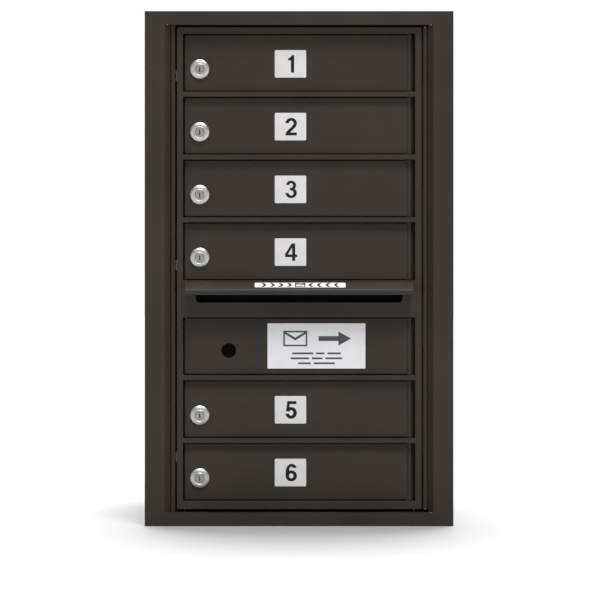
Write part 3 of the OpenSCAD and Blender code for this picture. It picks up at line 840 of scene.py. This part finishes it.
def stud_marks(face_y):
    """The faint dimples that the four welded studs leave in the face of the door."""
    low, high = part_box("arrow_lock_studs")
    work = bmesh.new()
    for x in (low.x + STUD_R, high.x - STUD_R):
        for z in (low.z + STUD_R, high.z - STUD_R):
            dimple = bmesh.new()
            lathe(dimple, in_mm(DIMPLE_PROFILE), 48)
            dimple.transform(Matrix.Translation((x, face_y, z)) @ OUTWARD)
            add_mesh(work, dimple)
    marks = mesh_piece("stud_marks", work)
    finish_piece(marks, "outgoing_door", BRONZE)


def outgoing_door():
    """The outgoing-mail door with its key hole, stud marks and label."""
    studs = middle("arrow_lock_studs")
    face_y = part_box("outgoing_door")[0].y
    pan = door_pan("outgoing_door_pan", "outgoing_door", ((studs.x, face_y, studs.z), KEY_HOLE_R))
    finish_piece(pan, "outgoing_door", BRONZE, ["outgoing_door"])
    stud_marks(face_y)

    node = "outgoing_door_label"
    label_face("outgoing_sign", node, SIGN_CORNER, "outgoing_door", SILVER_LABEL)
    shapes = envelope(ENVELOPE_W, ENVELOPE_H, ENVELOPE_STROKE, (ENVELOPE_X, PICTOGRAM_RISE))
    shapes += arrow(ARROW_L, ARROW_H, (ARROW_X, PICTOGRAM_RISE))
    for lengths, height in BAR_ROWS:
        shapes += bars([k * MM for k in lengths], BAR_T, (0, height * MM), BAR_GAP)
    label_print("outgoing_sign_print", node, shapes, "outgoing_door", GREY_INK)


def hood():
    """The rain hood: one bent sheet with rounded folds, and its two end plates.

    Returns the reach and the drop of its slope.
    """
    low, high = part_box("outgoing_hood")
    drop = high.z - low.z - HOOD_LIP
    bends = [(low.y, low.z), (low.y, low.z + HOOD_LIP), (high.y, high.z), (high.y, high.z - HOOD_ROOT)]
    outline = sheet_outline(round_corners(bends, HOOD_FOLD_R), -HOOD_SHEET)
    work = bmesh.new()
    extruded(work, outline, axes((low.x, 0, 0), (0, 1, 0), (0, 0, 1), (1, 0, 0)), high.x - low.x)
    inset = HOOD_END_INSET
    end = [
        (high.y - inset, high.z - 2 * inset),
        (low.y + inset, high.z - drop - inset),
        (low.y + inset, low.z + inset),
        (high.y - inset, high.z - HOOD_END_H),
    ]
    for x in (low.x + inset, high.x - HOOD_SHEET - inset):
        extruded(work, end, axes((x, 0, 0), (0, 1, 0), (0, 0, 1), (1, 0, 0)), HOOD_SHEET)
    piece = mesh_piece("rain_hood", work)
    add_bevel(piece, HOOD_EDGE)
    finish_piece(piece, "master_door", BRONZE, ["outgoing_hood"])
    return high.y - low.y, drop


def hood_sign(reach, drop):
    """The strip on the hood's slope, with plain chevrons and an envelope in place of words."""
    node = "outgoing_label"
    low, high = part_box(node)
    slope = math.atan2(drop, reach)
    along = Vector((0, math.cos(slope), math.sin(slope)))
    out = Vector((0, -math.sin(slope), math.cos(slope)))
    centre = middle(node)
    height = (high.z - low.z) / math.sin(slope) - STRIP_MARGIN
    place = axes(centre - out * STRIP_T / 2, (1, 0, 0), along, out)
    outline = rounded_box(high.x - low.x, height, STRIP_CORNER)
    strip = flat_shape("hood_sign", [outline], STRIP_T, place, STRIP_EDGE)
    finish_piece(strip, "master_door", WHITE_LABEL, [node])

    shapes = envelope(*STRIP_ENVELOPE, (0, 0))
    for side in (-1, 1):
        for step in CHEVRON_STEPS:
            shapes += chevron(side, *CHEVRON, (side * step * MM, 0))
    lifted = axes(centre + out * (STRIP_T / 2 + PRINT_GAP), (1, 0, 0), along, out)
    marks = flat_shape("hood_sign_print", shapes, STRIP_PRINT_T, lifted)
    finish_piece(marks, "master_door", BLACK_INK)


# ------------------------------------------------------------- small hardware

RIVET_H = 1.0 * MM
RIVET_REACH = 8 * MM
SAME_PLACE = 0.01 * MM
RIVET_PROFILE = (
    (0, -3.0), (1.6, -3.0), (1.6, 0), (3.2, 0), (3.2, 0.25), (2.8, 0.62), (2.1, 0.86), (1.2, 0.98),
    (0.9, 0.96), (0.85, 0.6), (0, 0.6),
)


def clustered(points, reach):
    """Groups points that lie within reach of a group's first point."""
    clusters = []
    for point in points:
        for cluster in clusters:
            if (cluster[0] - point).length < reach:
                cluster.append(point)
                break
        else:
            clusters.append([point])
    return clusters


def rivets():
    """Domed heads of the blind rivets, on the places of the CAD rivets in both sides."""
    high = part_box("cabinet_rivets")[1]
    tops = [v.co for v in frame["nodes"]["cabinet_rivets"].data.vertices if v.co.x > high.x - SAME_PLACE]
    work = bmesh.new()
    for cluster in clustered(tops, RIVET_REACH):
        ys = [p.y for p in cluster]
        zs = [p.z for p in cluster]
        for side in (-1, 1):
            head = bmesh.new()
            lathe(head, in_mm(RIVET_PROFILE), 32)
            spot = (side * (high.x - RIVET_H), (min(ys) + max(ys)) / 2, (min(zs) + max(zs)) / 2)
            head.transform(Matrix.Translation(spot) @ Matrix.Rotation(math.radians(90 * side), 4, "Y"))
            add_mesh(work, head)
    heads = mesh_piece("rivet_heads", work)
    finish_piece(heads, "cabinet", ZINC, ["cabinet_rivets"])


# ------------------------------------------------------------- stage

WORLD_STRENGTH = 1.0
WORLD_LEVELS = ((0.14, 1.0), (0.26, 0.34), (0.60, 0.28), (0.85, 0.4))  # (sine of elevation, brightness)
LAMPS = (  # name, elevation, azimuth, softness, strength, seen in reflections
    ("key_light", 67, 18, 18, 3.7, True),
    ("back_light", 67, 180, 42, 9.6, False),
)
FLOOR_REACH = 40
CAMERA_DISTANCE = 3.0
CAMERA_SENSOR = 36
CAMERA_CLIP = 100
CAMERA_VIEW_W = 0.8463
CAMERA_X = 1.3 * MM
CAMERA_Z = 0.319


def studio_world():
    """White low down and overhead, and dimmer at the height of the walls."""
    world = bpy.data.worlds.new("studio")
    world.use_nodes = True
    nodes = world.node_tree.nodes
    link = world.node_tree.links.new
    place = nodes.new("ShaderNodeTexCoord")
    split = nodes.new("ShaderNodeSeparateXYZ")
    stops = nodes.new("ShaderNodeValToRGB")
    ramp_stops = stops.color_ramp.elements
    ramp_stops[0].position, ramp_stops[0].color = 0.0, (1, 1, 1, 1)
    ramp_stops[1].position, ramp_stops[1].color = 1.0, (1, 1, 1, 1)
    for height, level in WORLD_LEVELS:
        stop = ramp_stops.new(height)
        stop.color = (level, level, level, 1)
    link(place.outputs["Generated"], split.inputs["Vector"])
    link(split.outputs["Z"], stops.inputs["Fac"])
    link(stops.outputs["Color"], nodes["Background"].inputs["Color"])
    nodes["Background"].inputs["Strength"].default_value = WORLD_STRENGTH
    bpy.context.scene.world = world
    bpy.context.scene.view_settings.view_transform = "Standard"


def sun(name, elevation, azimuth, softness, strength, reflected):
    """A broad lamp far away; azimuth 0 is in front of the doors, positive to their right."""
    data = bpy.data.lights.new(name, "SUN")
    data.angle = math.radians(softness)
    data.energy = strength
    lamp = bpy.data.objects.new(name, data)
    bpy.context.scene.collection.objects.link(lamp)
    up, side = math.radians(elevation), math.radians(azimuth)
    toward = Vector((math.cos(up) * math.sin(side), -math.cos(up) * math.cos(side), math.sin(up)))
    lamp.rotation_euler = toward.to_track_quat("Z", "Y").to_euler()
    lamp.visible_glossy = reflected


def build_stage():
    """A pale floor, a soft studio and the front camera."""
    work = bmesh.new()
    bmesh.ops.create_grid(work, x_segments=2, y_segments=2, size=FLOOR_REACH)
    floor = mesh_piece("floor", work)
    floor.data.materials.append(studio_floor())
    studio_world()
    for lamp in LAMPS:
        sun(*lamp)

    data = bpy.data.cameras.new("camera")
    data.sensor_width = CAMERA_SENSOR
    data.lens = data.sensor_width * CAMERA_DISTANCE / CAMERA_VIEW_W
    data.clip_end = CAMERA_CLIP
    camera = bpy.data.objects.new("camera", data)
    bpy.context.scene.collection.objects.link(camera)
    camera.location = (CAMERA_X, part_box("trim_top")[0].y - CAMERA_DISTANCE, CAMERA_Z)
    camera.rotation_euler = (math.radians(90), 0, 0)
    bpy.context.scene.camera = camera


dress_cad_nodes()
build_tenants()
outgoing_door()
hood_sign(*hood())
rivets()
build_stage()
